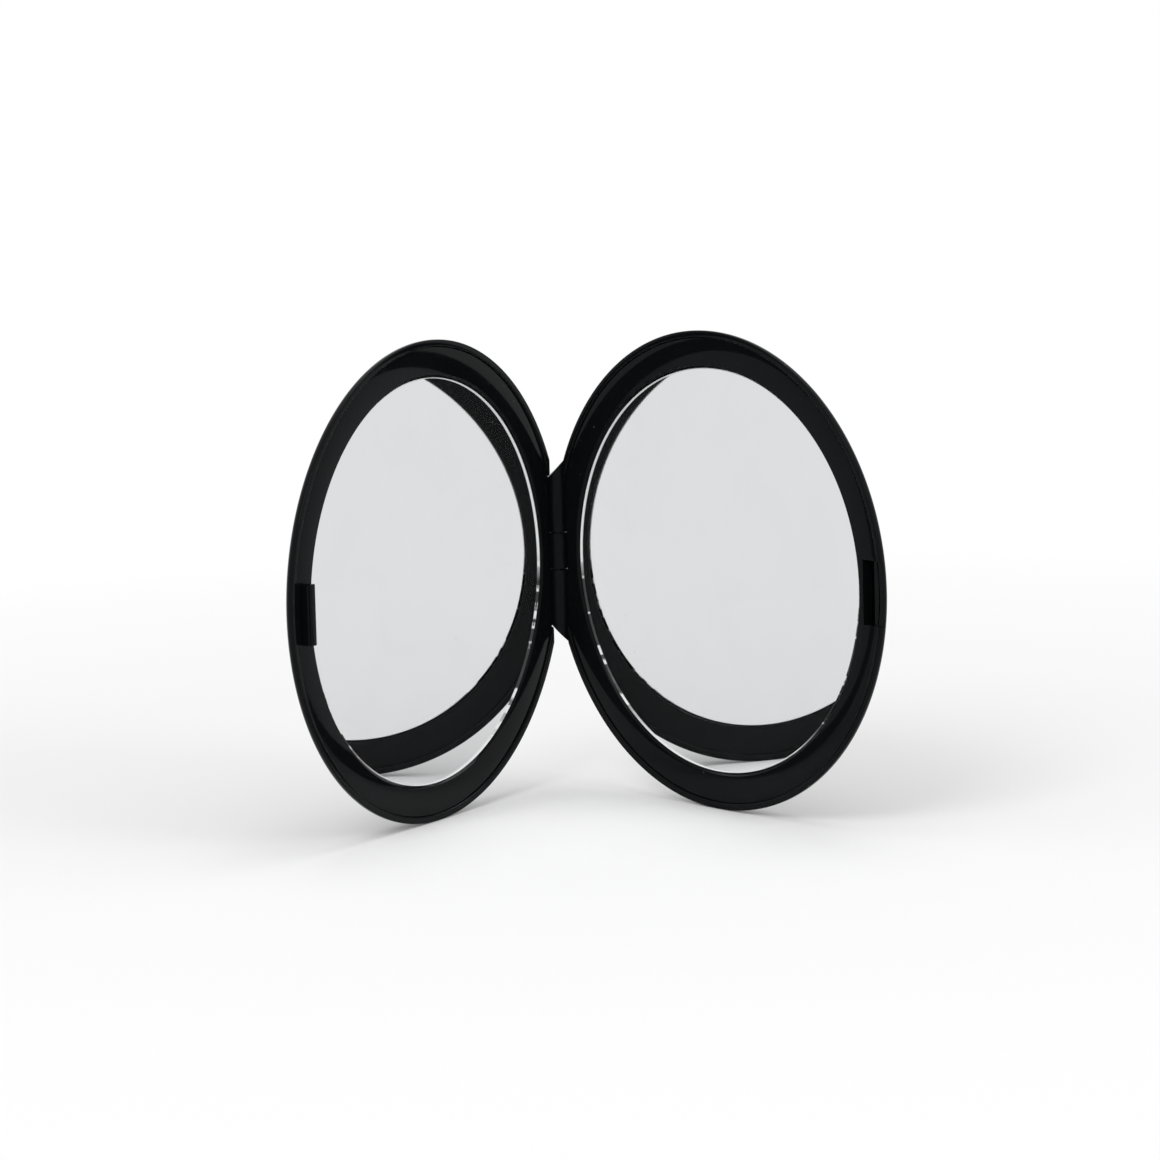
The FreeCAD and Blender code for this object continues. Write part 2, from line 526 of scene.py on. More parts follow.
@dataclass
class SurfaceGroups:
    """The surface effects that more than one finish uses, each built once as a node group."""

    hair_turns: Tuple[float, ...] = (0.4, 1.7, 2.6)
    hair_twist: Triple = (1.0, 0.7, 1.3)
    hair_stretch: Triple = (1.0, 0.03, 1.0)
    hair_span: Range = (0.69, 0.74)
    hair_detail: float = 2.0
    smear_span: Range = (0.45, 0.75)
    smear_detail: float = 4.0
    smear_warp: float = 0.8
    layer_rough: float = 0.5
    speck_span: Range = (0.05, 0.12)
    drift_scale: float = 70.0
    drift_span: Range = (0.45, 0.7)

    def __post_init__(self) -> None:
        """Builds the handling group and the dust group."""
        self.handling = self._handling()
        self.dust = self._dust()

    @staticmethod
    def _start(name: str, inputs: Dict[str, float], outputs: Sequence[str]) -> Tuple[Graph, Node, Node]:
        """An empty group with its named sockets.

        Args:
            name: The group's name.
            inputs: The inputs with their values.
            outputs: The outputs.

        Returns:
            The graph, the node with the inputs and the node with the outputs.
        """
        tree = bpy.data.node_groups.new(name, "ShaderNodeTree")
        for socket, value in inputs.items():
            made = tree.interface.new_socket(name=socket, in_out="INPUT", socket_type="NodeSocketFloat")
            made.default_value = value
        for socket in outputs:
            tree.interface.new_socket(name=socket, in_out="OUTPUT", socket_type="NodeSocketFloat")
        graph = Graph(tree)
        return graph, graph.add("NodeGroupInput"), graph.add("NodeGroupOutput")

    def _handling(self) -> Tree:
        """Hairline scratches and the soft smear that fingers leave.

        Returns:
            The group.
        """
        graph, given, result = self._start("handling", {"Scratch scale": 900.0, "Smear scale": 90.0},
                                           ("Scratches", "Smear"))
        place = graph.place()
        lines = []
        for turn in self.hair_turns:
            twisted = tuple(turn * share for share in self.hair_twist)
            turned = graph.add("ShaderNodeMapping", {"Vector": place, "Rotation": twisted,
                                                     "Scale": self.hair_stretch}).outputs["Vector"]
            layer = graph.noise(turned, given.outputs["Scratch scale"], self.hair_detail, self.layer_rough)
            lines.append(graph.spread(layer, self.hair_span))
        smear = graph.noise(place, given.outputs["Smear scale"], self.smear_detail, self.layer_rough,
                            self.smear_warp)
        graph.feed(result.inputs["Scratches"], graph.math(Op.MAXIMUM, *lines))
        graph.feed(result.inputs["Smear"], graph.spread(smear, self.smear_span))
        return graph.tree

    def _dust(self) -> Tree:
        """Fine specks that settle here and there.

        Returns:
            The group.
        """
        graph, given, result = self._start("dust", {"Speck scale": 600.0, "Amount": 0.5}, ("Specks",))
        place = graph.place()
        cells = graph.add("ShaderNodeTexVoronoi", {"Vector": place, "Scale": given.outputs["Speck scale"]})
        size = graph.spread(cells.outputs["Distance"], self.speck_span, (1.0, 0.0))
        chance = graph.add("ShaderNodeSeparateColor", {"Color": cells.outputs["Color"]}).outputs["Red"]
        kept = graph.math(Op.LESS_THAN, chance, given.outputs["Amount"])
        drift = graph.spread(graph.noise(place, self.drift_scale), self.drift_span)
        graph.feed(result.inputs["Specks"], graph.math(Op.MULTIPLY, size, kept, drift))
        return graph.tree


@dataclass(frozen=True)
class BlackPlastic:
    """High-gloss black moulded plastic with hairline scratches, smears and a little dust."""

    colour: Colour = (0.0034, 0.0040, 0.0044, 1.0)
    cloud_lift: float = 1.25
    cloud_scale: float = 60.0
    dusty: Colour = (0.16, 0.16, 0.16, 1.0)
    dust_amount: float = 0.22
    dust_share: float = 0.5
    roughness: float = 0.05
    scratch_rough: float = 0.10
    smear_rough: float = 0.05
    dust_rough: float = 0.5
    ior: float = 1.5
    gloss: float = 0.06
    ripple: float = 0.012
    ripple_scale: float = 240.0
    ripple_detail: float = 2.0
    ripple_depth: float = 0.4 * MM
    scratch_height: float = 0.02

    def make(self, groups: SurfaceGroups) -> Material:
        """Builds the material.

        Args:
            groups: The shared surface effects.

        Returns:
            The material.
        """
        material, graph = Graph.of_material("gloss_black_plastic")
        place = graph.place()
        handling = graph.add("ShaderNodeGroup", node_tree=groups.handling).outputs
        dust = graph.add("ShaderNodeGroup", node_tree=groups.dust)
        dust.inputs["Amount"].default_value = self.dust_amount
        specks = graph.math(Op.MULTIPLY, dust.outputs["Specks"], self.dust_share)
        lifted = tuple(self.cloud_lift * value for value in self.colour[:3]) + (1.0,)
        clouds = graph.spread(graph.noise(place, self.cloud_scale), NOISE_SPAN)
        tone = graph.blend(clouds, self.colour, lifted)
        rough = graph.math(Op.ADD, graph.math(Op.MULTIPLY, handling["Scratches"], self.scratch_rough),
                           self.roughness, graph.math(Op.MULTIPLY, handling["Smear"], self.smear_rough),
                           graph.math(Op.MULTIPLY, specks, self.dust_rough))
        waves = graph.math(Op.ADD, graph.noise(place, self.ripple_scale, self.ripple_detail),
                           graph.math(Op.MULTIPLY, handling["Scratches"], self.scratch_height))
        graph.principled({"Base Color": graph.blend(specks, tone, self.dusty), "Roughness": rough,
                          "IOR": self.ior, "Specular IOR Level": self.gloss,
                          "Normal": graph.bump(waves, self.ripple, self.ripple_depth)})
        return material


@dataclass(frozen=True)
class Silvering:
    """Silvered float glass with faint smears, a few specks and a trace of haze over it."""

    colour: Colour = (0.850, 0.855, 0.862, 1.0)
    hazy: Colour = (0.80, 0.80, 0.80, 1.0)
    haze_share: float = 0.25
    dusty: Colour = (0.5, 0.5, 0.5, 1.0)
    dust_amount: float = 0.05
    dust_share: float = 0.35
    clearness: float = 0.994
    roughness: float = 0.002
    smear_rough: float = 0.012

    def make(self, groups: SurfaceGroups) -> Material:
        """Builds the material.

        Args:
            groups: The shared surface effects.

        Returns:
            The material.
        """
        material, graph = Graph.of_material("silvered_glass")
        smear = graph.add("ShaderNodeGroup", node_tree=groups.handling).outputs["Smear"]
        dust = graph.add("ShaderNodeGroup", node_tree=groups.dust)
        dust.inputs["Amount"].default_value = self.dust_amount
        colour = graph.blend(graph.math(Op.MULTIPLY, smear, self.haze_share), self.colour, self.hazy)
        specks = graph.math(Op.MULTIPLY, dust.outputs["Specks"], self.dust_share)
        rough = graph.math(Op.ADD, graph.math(Op.MULTIPLY, smear, self.smear_rough), self.roughness)
        graph.principled({"Base Color": graph.blend(specks, colour, self.dusty),
                          "Metallic": self.clearness, "Roughness": rough})
        return material


@dataclass(frozen=True)
class GroundEdge:
    """The pale ground edge of the glass: darker in a band between two heights, broken by pale spots that are
    painted glints.
    """

    pale: Colour = (0.93, 0.95, 0.94, 1.0)
    shaded: Colour = (0.80, 0.83, 0.82, 1.0)
    # The darker band's colour; the pale spots that a noise leaves in the band are painted glints.
    dark_band: Colour = (0.02, 0.02, 0.02, 1.0)
    dark_band_top: float = 33.0 * MM
    top_fade: float = 2.0 * MM
    dark_band_bottom: float = 12.0 * MM
    bottom_fade: float = 3.0 * MM
    glint_scale: float = 420.0
    glint_span: Range = (0.53, 0.57)
    grain_scale: float = 3000.0
    grain_range: Range = (0.9, 1.0)
    fine_detail: float = 2.0
    rough_scale: float = 2000.0
    rough_range: Range = (0.35, 0.6)

    def make(self) -> Material:
        """Builds the material.

        Returns:
            The material.
        """
        material, graph = Graph.of_material("ground_glass_edge")
        place = graph.place()
        height = graph.add("ShaderNodeSeparateXYZ", {"Vector": place}).outputs["Z"]
        top = (self.dark_band_top - self.top_fade, self.dark_band_top + self.top_fade)
        bottom = (self.dark_band_bottom - self.bottom_fade, self.dark_band_bottom + self.bottom_fade)
        # The edge is darker between two heights, and the pale spots that the noise leaves in that band are
        # painted glints.
        glint_noise = graph.noise(place, self.glint_scale, self.fine_detail)
        dark_band_mask = graph.math(Op.MULTIPLY, graph.spread(height, top, (1.0, 0.0)), graph.spread(height, bottom),
                           graph.spread(glint_noise, self.glint_span, (1.0, 0.0)))
        grain = graph.noise(place, self.grain_scale, self.fine_detail)
        bare = graph.blend(graph.spread(grain, NOISE_SPAN, self.grain_range), self.shaded, self.pale)
        rough = graph.spread(graph.noise(place, self.rough_scale), NOISE_SPAN, self.rough_range)
        graph.principled({"Base Color": graph.blend(dark_band_mask, bare, self.dark_band), "Roughness": rough})
        return material


@dataclass(frozen=True)
class DrawnSteel:
    """Drawn steel wire with fine marks along its length."""

    colour: Colour = (0.56, 0.56, 0.57, 1.0)
    dull: Colour = (0.40, 0.40, 0.41, 1.0)
    stretch: Triple = (1.0, 1.0, 0.02)
    mark_scale: float = 6000.0
    mark_strength: float = 0.1
    mark_depth: float = 0.1 * MM
    rough_range: Range = (0.22, 0.38)
    smear_rough: float = 0.1

    def make(self, groups: SurfaceGroups) -> Material:
        """Builds the material.

        Args:
            groups: The shared surface effects.

        Returns:
            The material.
        """
        material, graph = Graph.of_material("drawn_steel")
        smear = graph.add("ShaderNodeGroup", node_tree=groups.handling).outputs["Smear"]
        drawn = graph.add("ShaderNodeMapping", {"Vector": graph.place(), "Scale": self.stretch})
        marks = graph.noise(drawn.outputs["Vector"], self.mark_scale)
        rough = graph.math(Op.ADD, graph.spread(marks, NOISE_SPAN, self.rough_range),
                           graph.math(Op.MULTIPLY, smear, self.smear_rough))
        graph.principled({"Base Color": graph.blend(marks, self.colour, self.dull), "Metallic": 1.0,
                          "Roughness": rough,
                          "Normal": graph.bump(marks, self.mark_strength, self.mark_depth)})
        return material


@dataclass(frozen=True)
class FoamTape:
    """White double-sided foam with small open cells, with painted shade in the cells' pits."""

    colour: Colour = (0.78, 0.78, 0.74, 1.0)
    cell: Colour = (0.60, 0.60, 0.56, 1.0)
    cell_scale: float = 2500.0
    cell_span: Range = (0.1, 0.6)
    cell_strength: float = 0.4
    cell_depth: float = 0.2 * MM
    rough_span: Range = (0.0, 0.6)
    rough_range: Range = (0.75, 0.95)

    def make(self) -> Material:
        """Builds the material.

        Returns:
            The material.
        """
        material, graph = Graph.of_material("foam_tape")
        cells = graph.add("ShaderNodeTexVoronoi", {"Vector": graph.place(), "Scale": self.cell_scale})
        depth = cells.outputs["Distance"]
        # Painted shade: the foam is darker where the bump's pits lie, in the middle of each cell.
        colour = graph.blend(graph.spread(depth, self.cell_span, (1.0, 0.0)), self.colour, self.cell)
        graph.principled({"Base Color": colour,
                          "Roughness": graph.spread(depth, self.rough_span, self.rough_range),
                          "Normal": graph.bump(depth, self.cell_strength, self.cell_depth)})
        return material


@dataclass(frozen=True)
class StudioWhite:
    """A white studio sheet: it takes the shadow near the object and runs out to plain white."""

    colour: Colour = (0.90, 0.90, 0.90, 1.0)
    fibre: Colour = (0.87, 0.87, 0.87, 1.0)
    fibre_scale: float = 300.0
    fibre_range: Range = (0.98, 1.0)
    shadow_to_white: Range = (0.12, 0.26)

    def make(self) -> Material:
        """Builds the material.

        Returns:
            The material.
        """
        material, graph = Graph.of_material("studio_white")
        place = graph.place()
        away = graph.add("ShaderNodeVectorMath", {0: place}, operation="LENGTH").outputs["Value"]
        plain = graph.math(Op.MULTIPLY, graph.spread(away, self.shadow_to_white), graph.seen())
        fibres = graph.spread(graph.noise(place, self.fibre_scale), NOISE_SPAN, self.fibre_range)
        sheet = graph.add("ShaderNodeBsdfDiffuse", {"Color": graph.blend(fibres, self.fibre, self.colour)})
        glow = graph.add("ShaderNodeEmission", {"Color": WHITE, "Strength": 1.0})
        mixed = graph.add("ShaderNodeMixShader", {0: plain, 1: sheet.outputs[0], 2: glow.outputs[0]})
        graph.add("ShaderNodeOutputMaterial", {"Surface": mixed.outputs[0]})
        return material


@dataclass(frozen=True)
class Finishes:
    """One material for each finish of the object."""

    plastic: Material
    silver: Material
    edge: Material
    steel: Material
    foam: Material

    @classmethod
    def made(cls) -> "Finishes":
        """Builds the shared groups and every finish."""
        groups = SurfaceGroups()
        return cls(BlackPlastic().make(groups), Silvering().make(groups), GroundEdge().make(),
                   DrawnSteel().make(groups), FoamTape().make())


@dataclass(frozen=True)
class Latch:
    """The snap latch: the lid's tongue and the room for it in the base's rim."""

    sizes: Sizes
    inset: float = 3.3
    width: float = 8.7
    thickness: float = 1.2
    reach: float = 1.3
    root: float = 0.8
    tongue_round: float = 0.12
    lead_in: Triple = (0.62, 0.985, 1.0)
    tip_band: float = 0.01
    nib_height: float = 0.3
    nib_depth: float = 0.65
    nib_length: float = 0.4
    nib_root: float = 0.3
    nib_inset: float = 0.1
    nib_round: float = 0.09
    side_gap: float = 0.3
    inner_gap: float = 0.35
    mouth_gap: float = 0.2
    undercut_step: float = 0.2
    undercut_gap: float = 0.25
    ledge_gap: float = 0.05
    notch_depth: float = 0.25
    through: float = 2.0

    @property
    def radius(self) -> float:
        """From the disc's centre to the middle of the tongue."""
        return self.sizes.outer_radius - self.inset

    @property
    def inner(self) -> float:
        """Where the tongue's inner side is."""
        return self.radius - self.thickness / 2

    @property
    def outer(self) -> float:
        """Where the tongue's outer side is."""
        return self.radius + self.thickness / 2

    @property
    def across(self) -> float:
        """Half the slot's length."""
        return self.width / 2 + self.side_gap

    def slot(self) -> List[Object]:
        """The solids that cut the slot's mouth and the undercut behind its ledge.

        Returns:
            The mouth and the undercut.
        """
        start = self.inner - self.inner_gap
        deep = self.outer + self.nib_height + self.undercut_gap
        mouth = Bench.bar("slot_mouth", (start, -self.across, -self.through),
                          (self.outer + self.mouth_gap, self.across, self.through))
        undercut = Bench.bar("slot_undercut", (start + self.undercut_step, -self.across, -self.through),
                             (deep, self.across, self.ledge_gap - self.nib_depth))
        return [mouth, undercut]

    def nail_notch(self) -> Object:
        """The solid that cuts the step for a fingernail beside the slot."""
        floor = -(self.sizes.face_depth + self.notch_depth)
        return Bench.bar("nail_notch", (self.outer, -self.across, floor),
                         (self.sizes.outer_radius + self.through, self.across, self.through))

    def tongue(self) -> Object:
        """The springy tab with its lead-in and its nib.

        Returns:
            The tongue.
        """
        half_width = self.width / 2
        nib_side = half_width - self.nib_inset
        tab = Bench.bar("tongue", (self.inner, -half_width, -self.root), (self.outer, half_width, self.reach),
                        self.tongue_round)
        Bench.edit(tab)
        Bench.pick_edges(tab, lambda a, b: min(a.z, b.z) > (self.reach - self.tip_band) * MM)
        bpy.ops.transform.resize(value=self.lead_in, center_override=(self.radius * MM, 0, 0))
        Bench.clear()
        nib_top = self.nib_depth + self.nib_length
        nib = Bench.bar("nib", (self.outer - self.nib_root, -nib_side, self.nib_depth),
                        (self.outer + self.nib_height, nib_side, nib_top), self.nib_round)
        Bench.work(tab, [nib], Cut.ADD)
        return tab


@dataclass(frozen=True)
class Hinge:
    """The pinned hinge: two knuckles with sloped ends on the base, one on the lid, and a steel pin."""

    sizes: Sizes
    knuckle_round: float = 0.18
    length: float = 21.6
    slope: float = 3.25
    facet_reach: float = 12.4
    facet_rise: float = 1.05
    facet_turn: float = 48.0
    middle_length: float = 5.4
    end_gap: float = 0.1
    tab_top: float = 0.37
    tab_thickness: float = 1.28
    tab_start: float = 0.07
    tab_inset: float = 0.05
    tab_root: float = 0.4
    trough_root: float = 0.5
    trough_width: float = 0.85
    trough_gap: float = 0.1
    trough_step: float = 0.04
    trough_overlap: float = 0.1
    room_overlap: float = 1.0
    pin_radius: float = 0.6
    pin_recess: float = 0.25
    pin_round: float = 0.15
    base_pin_gap: float = 0.01
    lid_pin_gap: float = 0.05

    @property
    def axis_x(self) -> float:
        """X of the hinge axis."""
        return -self.sizes.axis_to_centre

    @property
    def tab_bottom(self) -> float:
        """Z of the tabs' undersides."""
        return -(self.tab_top + self.tab_thickness)

    @property
    def slope_run(self) -> float:
        """How far across the hinge the sloped ends run, from the barrel's far side to the rim's flat."""
        return self.sizes.knuckle_radius - self.axis_x - self.sizes.chord

    def knuckle(self, low: float, high: float) -> List[Object]:
        """One barrel and the tab that carries it.

        Args:
            low: Where it starts along the hinge.
            high: Where it ends.

        Returns:
            The tab and the barrel.
        """
        barrel = Bench.rod("barrel", self.axis_x, self.sizes.knuckle_radius, low, high, self.knuckle_round)
        tab = Bench.bar("tab", (self.axis_x + self.tab_start, low + self.tab_inset, self.tab_bottom),
                        (self.tab_root - self.sizes.chord, high - self.tab_inset, -self.tab_top))
        return [tab, barrel]

    def sloped_knuckle(self, side: int) -> List[Object]:
        """One of the base's knuckles, whose outer end slopes from the barrel out to the rim's edge.

        Args:
            side: 1 for the upper knuckle and -1 for the lower.

        Returns:
            The tab and the barrel.
        """
        near = self.middle_length / 2 + self.end_gap
        far = self.length / 2 + 2 * self.slope
        tab, barrel = self.knuckle(*sorted((side * near, side * far)))
        tip_x = self.axis_x - self.sizes.knuckle_radius
        sloped = (self.slope, -side * self.slope_run, 0)
        turn = math.radians(self.facet_turn)
        facet = (self.facet_rise * math.cos(turn), -side, -self.facet_rise * math.sin(turn))
        Bench.trimmed(tab, (tip_x, side * (self.length / 2 - self.tab_inset), 0), sloped)
        Bench.trimmed(barrel, (tip_x, side * self.length / 2, 0), sloped)
        Bench.trimmed(barrel, (self.axis_x, side * self.facet_reach, 0), facet)
        return [tab, barrel]

    def trough(self, low: float, high: float) -> Object:
        """The hollow edge of a frame behind the other half's barrel, which closes the gap there.

        Args:
            low: Where it starts along the hinge.
            high: Where it ends.

        Returns:
            The edge.
        """
        flat = -self.sizes.chord
        edge = Bench.bar("trough", (flat - self.trough_width, low, self.tab_bottom + self.trough_step),
                         (flat + self.trough_root, high, -self.tab_top - self.trough_step))
        room = Bench.rod("room", self.axis_x, self.sizes.knuckle_radius + self.trough_gap,
                         low - self.room_overlap, high + self.room_overlap)
        Bench.work(edge, [room], Cut.REMOVE)
        return edge

    def solids(self, half: Half) -> List[Object]:
        """The hinge's solids on one half's frame.

        Args:
            half: The half.

        Returns:
            The solids, in the order in which they are added.
        """
        middle = self.middle_length / 2
        if half is Half.BASE:
            reach = middle + self.end_gap + self.trough_overlap
            return self.sloped_knuckle(1) + self.sloped_knuckle(-1) + [self.trough(-reach, reach)]
        start = middle - self.trough_overlap
        end = self.length / 2
        return self.knuckle(-middle, middle) + [self.trough(start, end), self.trough(-end, -start)]

    def bore(self, half: Half) -> Object:
        """The solid that cuts the pin's hole in one half."""
        gap = self.base_pin_gap if half is Half.BASE else self.lid_pin_gap
        return Bench.rod("pin_hole", self.axis_x, self.pin_radius + gap, -self.length, self.length)

    def pin(self, stance: Stance, finishes: Finishes) -> Object:
        """Models the steel pin and stands it up in the base's knuckles.

        Args:
            stance: How the halves stand.
            finishes: The materials.

        Returns:
            The finished pin.
        """
        opening = self.slope / self.slope_run * (self.sizes.knuckle_radius - self.pin_radius)
        reach = self.length / 2 + opening - self.pin_recess
        pin = Bench.rod("pin_wire", self.axis_x, self.pin_radius, -reach, reach, self.pin_round)
        return Bench.finished(pin, stance.placing(Half.BASE), finishes.steel)


@dataclass(frozen=True)
class Cover:
    """A half's thin outer dish: flat back, rounded shoulder and lip, cut flat at the hinge."""

    half: Half
    sizes: Sizes
    latch: Latch
    lip_depth: float = 0.05
    lip_round: float = 0.2
    lip_steps: int = 6
    nose_depth: float = 0.4
    nose_radius: float = 1.2
    nose_steps: int = 12
    blend_angle: float = 50.0
    back_depth: float = 4.4
    shoulder_steps: int = 26
    inner_steps: int = 10

    def profile(self) -> Profile:
        """The dish's cross-section.

        Returns:
            The points, from the middle of the back round the lip to the middle inside.
        """
        blend = math.radians(self.blend_angle)
        rise = self.back_depth - self.nose_depth - self.nose_radius * math.sin(blend)
        shoulder = rise / (1 - math.sin(blend))
        nose_centre = self.sizes.outer_radius - self.nose_radius
        flat = nose_centre + (self.nose_radius - shoulder) * math.cos(blend)
        centre = (flat, self.back_depth - shoulder)
        inner = self.sizes.outer_radius - self.sizes.wall
        inner_shoulder = shoulder - self.sizes.wall
        lip_centre = self.lip_depth + self.lip_round
        outer_lip = (self.sizes.outer_radius - self.lip_round, lip_centre)
        corner = math.degrees(math.acos((inner - flat) / inner_shoulder))
        points = [(0.0, self.back_depth)]
        points += arc(centre, shoulder, 90, self.blend_angle, self.shoulder_steps)
        points += arc((nose_centre, self.nose_depth), self.nose_radius, self.blend_angle, 0,
                      self.nose_steps)[1:]
        points += arc(outer_lip, self.lip_round, 0, -90, self.lip_steps)
        points += arc((inner + self.lip_round, lip_centre), self.lip_round, -90, -180, self.lip_steps)
        points += arc(centre, inner_shoulder, corner, 90, self.inner_steps)
        return points + [(0.0, self.back_depth - self.sizes.wall)]

    def build(self, stance: Stance, finishes: Finishes) -> Object:
        """Models the dish and stands it up.

        Args:
            stance: How the halves stand.
            finishes: The materials.

        Returns:
            The finished cover.
        """
        dish = Bench.turned(f"{self.half.body}_shell", self.profile())
        Bench.trimmed(dish, (-self.sizes.chord, 0, 0), (1, 0, 0))
        if self.half is Half.BASE:
            Bench.work(dish, [self.latch.nail_notch()], Cut.REMOVE)
        return Bench.finished(dish, stance.placing(self.half), finishes.plastic)


@dataclass(frozen=True)
class RimFrame:
    """A half's rim: a flat glossy ring with a chamfered opening, its hinge knuckles and its latch."""

    half: Half
    sizes: Sizes
    hinge: Hinge
    latch: Latch
    fit: float = 0.04
    face_round: float = 0.1
    face_steps: int = 5
    edge_cut: float = 0.05
    edge_round: float = 0.071
    edge_steps: int = 3
    floor_top: float = 2.35
    floor_bottom: float = 2.95
    foot_radius: float = 29.0

    def profile(self) -> Profile:
        """The ring's cross-section with the pocket's floor.

        Returns:
            The points, from the middle of the floor round the face to the middle below.
        """
        sizes = self.sizes
        face = sizes.face_depth
        corner = sizes.outer_radius - sizes.wall - self.fit - self.face_round
        eased = (sizes.opening_radius + self.edge_round, face + self.edge_round)
        points = [(0.0, self.floor_top), (sizes.pocket_radius, self.floor_top)]
        points.append((sizes.pocket_radius, face + sizes.chamfer))
        points.append((sizes.opening_radius - self.edge_cut, face + self.edge_cut))
        points += arc(eased, self.edge_round, -135, -90, self.edge_steps)
        points += arc((corner, face + self.face_round), self.face_round, -90, 0, self.face_steps)
        return points + [(self.foot_radius, self.floor_bottom), (0.0, self.floor_bottom)]

    def build(self, stance: Stance, finishes: Finishes) -> Object:
        """Models the frame with its hinge and latch, and stands it up.

        Args:
            stance: How the halves stand.
            finishes: The materials.

        Returns:
            The finished frame.
        """
        ring = Bench.turned(f"{self.half.body}_rim", self.profile())
        Bench.trimmed(ring, (-self.sizes.chord, 0, 0), (1, 0, 0))
        Bench.work(ring, self.hinge.solids(self.half), Cut.ADD)
        Bench.work(ring, [self.hinge.bore(self.half)], Cut.REMOVE)
        if self.half is Half.LID:
            Bench.work(ring, [self.latch.tongue()], Cut.ADD)
        else:
            Bench.work(ring, self.latch.slot() + [self.latch.nail_notch()], Cut.REMOVE)
        Bench.welded(ring)
        return Bench.finished(ring, stance.placing(self.half), finishes.plastic)


@dataclass(frozen=True)
class MirrorGlass:
    """A half's round mirror: the silvered face and the pale ground edge that stands round it.

    A little slack in the pad lets the glass lean: a small turn to the latch and a small pitch.
    """

    half: Half
    sizes: Sizes
    top: float = 0.95
    thickness: float = 0.88
    edge_height: float = 0.22
    edge_width: float = 0.12
    edge_fall: float = 0.04
    edge_margin: float = 0.01
    base_lean: Range = (0.20, 0.55)
    lid_lean: Range = (0.35, -0.40)

    @property
    def radius(self) -> float:
        """The glass's radius."""
        return self.sizes.pocket_radius - self.sizes.glass_room

    def askew(self) -> Matrix:
        """How the glass leans in its pad.

        Returns:
            The small turn about the middle of the silvered face.
        """
        turn, pitch = self.base_lean if self.half is Half.BASE else self.lid_lean
        centre = Vector((0, 0, -self.top * MM))
        lean = Matrix.Rotation(math.radians(turn), 4, "Y") @ Matrix.Rotation(math.radians(-pitch), 4, "X")
        return Matrix.Translation(centre) @ lean @ Matrix.Translation(-centre)

    def profile(self) -> Profile:
        """The glass's cross-section, with the ground edge as a fine upstand.

        Returns:
            The points, from the middle of the face round the edge to the middle of the back.
        """
        inner = self.radius - self.edge_width
        crest = self.top - self.edge_height
        back = self.top + self.thickness
        return [(0.0, self.top), (inner, self.top), (inner, crest), (self.radius, crest + self.edge_fall),
                (self.radius, back), (0.0, back)]

    def build(self, stance: Stance, finishes: Finishes) -> Object:
        """Models the glass and stands it up.

        Args:
            stance: How the halves stand.
            finishes: The materials.

        Returns:
            The finished mirror.
        """
        glass = Bench.turned(f"{self.half.body}_glass", self.profile())
        edge_start = (self.radius - self.edge_width - self.edge_margin) * MM
        pale = [min(math.hypot(*glass.data.vertices[index].co.xy) for index in face.vertices) > edge_start
                for face in glass.data.polygons]
        Bench.finished(glass, stance.placing(self.half) @ self.askew(), finishes.silver)
        glass.data.materials.append(finishes.edge)
        for face, is_edge in zip(glass.data.polygons, pale):
            face.material_index = int(is_edge)
        return glass


@dataclass(frozen=True)
class MirrorPad:
    """The foam pad under a half's mirror, which keeps its solid."""

    half: Half

    def dress(self, nodes: Dict[str, Object], finishes: Finishes) -> None:
        """Gives the pad's solid its finish.

        Args:
            nodes: The plain solids by name.
            finishes: The materials.
        """
        pad = nodes[f"{self.half.body}_mirror_pad"]
        pad.data.materials.clear()
        pad.data.materials.append(finishes.foam)
        log.info("%s keeps its solid, in foam", pad.name)


@dataclass(frozen=True)
class Lamp:
    """A square soft lamp that points at the object."""

    name: str
    place: Triple
    size: float
    watts: float
    aim: Triple = (0.0, 0.0, 0.03)

    def build(self) -> None:
        """Hangs the lamp."""
        data = bpy.data.lights.new(self.name, "AREA")
        data.shape = "SQUARE"
        data.size = self.size
        data.energy = self.watts
        lamp = bpy.data.objects.new(self.name, data)
        lamp.location = self.place
        lamp.rotation_euler = (Vector(self.aim) - Vector(self.place)).to_track_quat("-Z", "Y").to_euler()
        bpy.context.scene.collection.objects.link(lamp)


